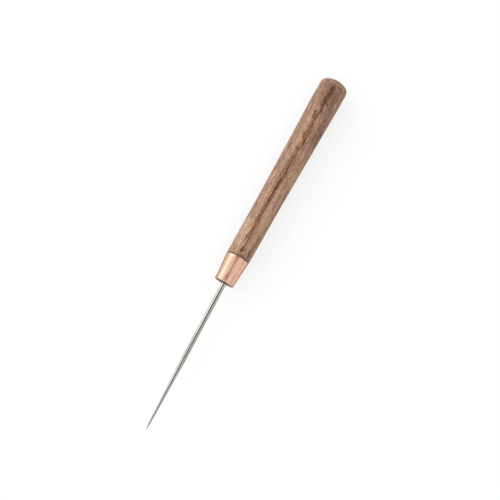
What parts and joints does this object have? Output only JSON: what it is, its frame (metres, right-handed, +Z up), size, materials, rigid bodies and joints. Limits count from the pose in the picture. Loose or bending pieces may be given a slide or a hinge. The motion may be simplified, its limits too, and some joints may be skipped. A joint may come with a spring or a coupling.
{
  "type": "garden dibber",
  "caption": "Slim needle dibber lying on its side: turned hardwood handle with a domed butt, tapered copper ferrule and a long thin steel spike ground to a point.",
  "frame": {"origin": "on the surface that the tool lies on, under the middle of its length and under the handle's axis", "axes": "+X along the handle's axis, from the butt towards the spike's tip, with the tool lying on its side; +Z up"},
  "size_m": [0.2, 0.0146, 0.0146],
  "materials": {
    "oiled_hardwood": "turned, sanded and oiled",
    "copper": "polished copper",
    "steel": "drawn and ground bright",
    "epoxy": "cured clear amber"
  },
  "bodies": {
    "root": {"handle": "oiled_hardwood", "ferrule": "copper", "spike": "steel", "tang_adhesive": "epoxy"}
  },
  "joints": []
}
